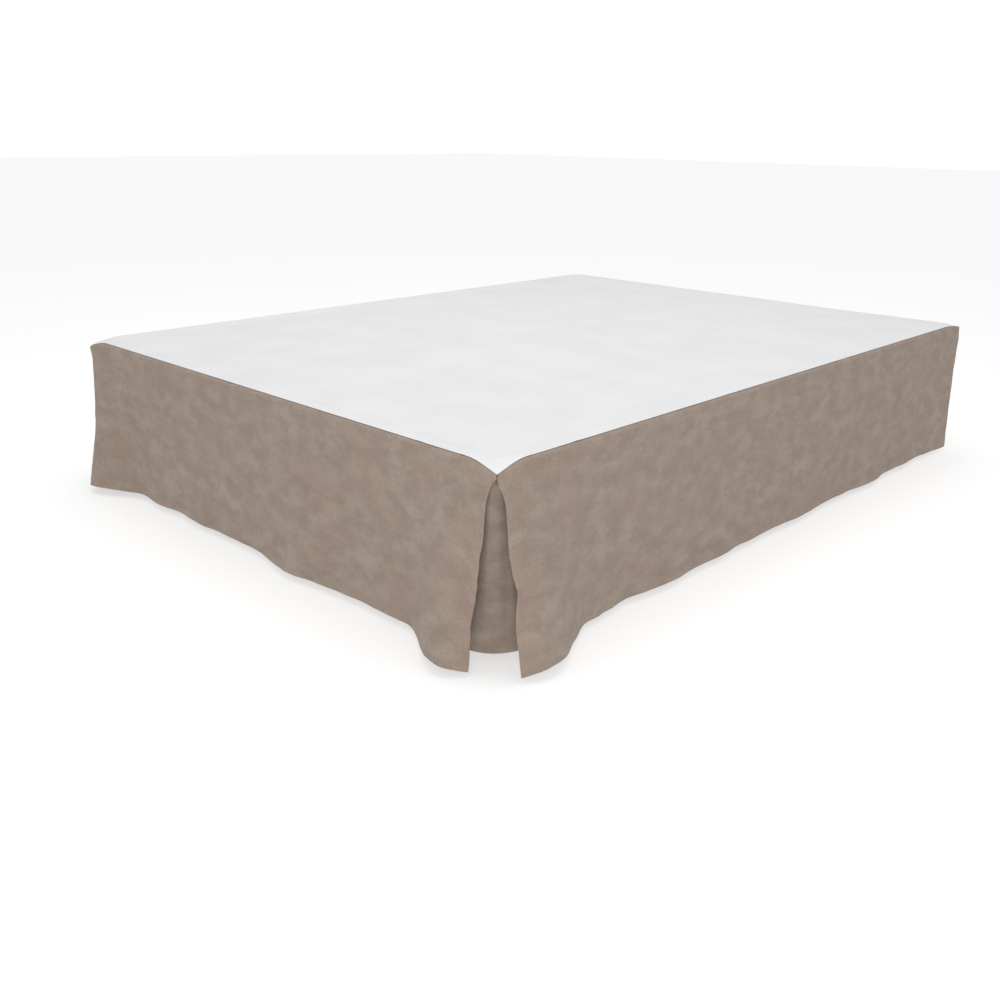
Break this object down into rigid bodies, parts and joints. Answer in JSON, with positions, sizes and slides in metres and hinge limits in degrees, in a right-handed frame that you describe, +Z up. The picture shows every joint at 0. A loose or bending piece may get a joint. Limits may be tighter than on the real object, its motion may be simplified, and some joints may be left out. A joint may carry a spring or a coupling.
{
  "type": "bed skirt on a bed base",
  "caption": "Split-corner linen bed skirt with a white deck, hanging over a plain upholstered bed base on round legs.",
  "frame": {"origin": "on the floor, under the middle of the whole bed skirt and base", "axes": "+Y from the foot end to the head end of the bed, +X to the side on the right hand of someone at the foot end who faces the head end, +Z up"},
  "size_m": [1.685, 2.1132, 0.4007],
  "materials": {
    "deck_cotton": "plain white cotton",
    "linen": "washed taupe linen, slubby plain weave",
    "base_cover": "plain woven upholstery",
    "leg_wood": "satin stained beech"
  },
  "bodies": {
    "root": {"deck": "deck_cotton", "foot_drop": "linen", "side_drop_right": "linen", "side_drop_left": "linen", "insert_right": "linen", "insert_left": "linen", "bed_base": "base_cover", "leg_1": "leg_wood", "leg_2": "leg_wood", "leg_3": "leg_wood", "leg_4": "leg_wood", "leg_5": "leg_wood", "leg_6": "leg_wood"}
  },
  "joints": []
}
